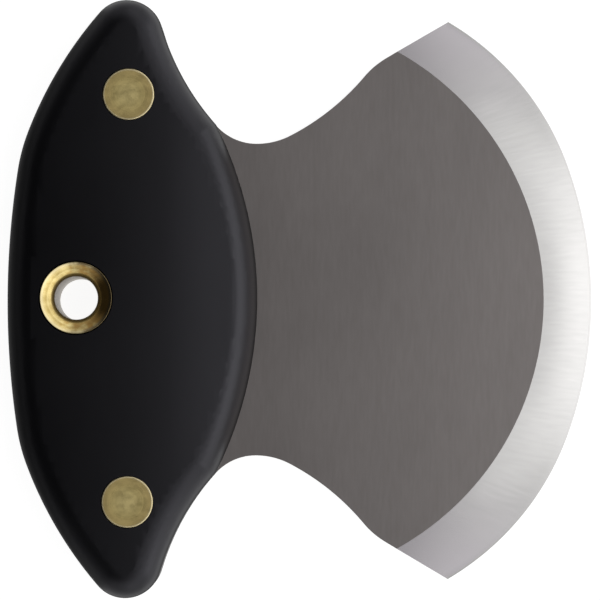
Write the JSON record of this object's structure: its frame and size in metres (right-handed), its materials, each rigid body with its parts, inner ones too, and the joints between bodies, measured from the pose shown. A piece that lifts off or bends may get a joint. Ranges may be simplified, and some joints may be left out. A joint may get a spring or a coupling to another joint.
{
  "type": "ulu knife",
  "caption": "Ulu knife with a broad curved steel blade ground from each face, its tang riveted between black horned handle scales that carry a flared brass lanyard tube.",
  "frame": {"origin": "centre of the knife's footprint, at the level of the rear scale's flat strip", "axes": "+X from the spine of the handle to the cutting edge, +Y along the handle, +Z out of the front face"},
  "size_m": [0.1088, 0.111, 0.021],
  "materials": {
    "blade_steel": "satin, ground edge",
    "handle_plastic": "satin black",
    "rivet_brass": "flat, fine turned",
    "tube_brass": "flared, polished"
  },
  "bodies": {
    "root": {"blade": "blade_steel", "front_scale": "handle_plastic", "rear_scale": "handle_plastic", "upper_rivet_male": "rivet_brass", "upper_rivet_female": "rivet_brass", "lower_rivet_male": "rivet_brass", "lower_rivet_female": "rivet_brass", "lanyard_tube": "tube_brass"}
  },
  "joints": []
}
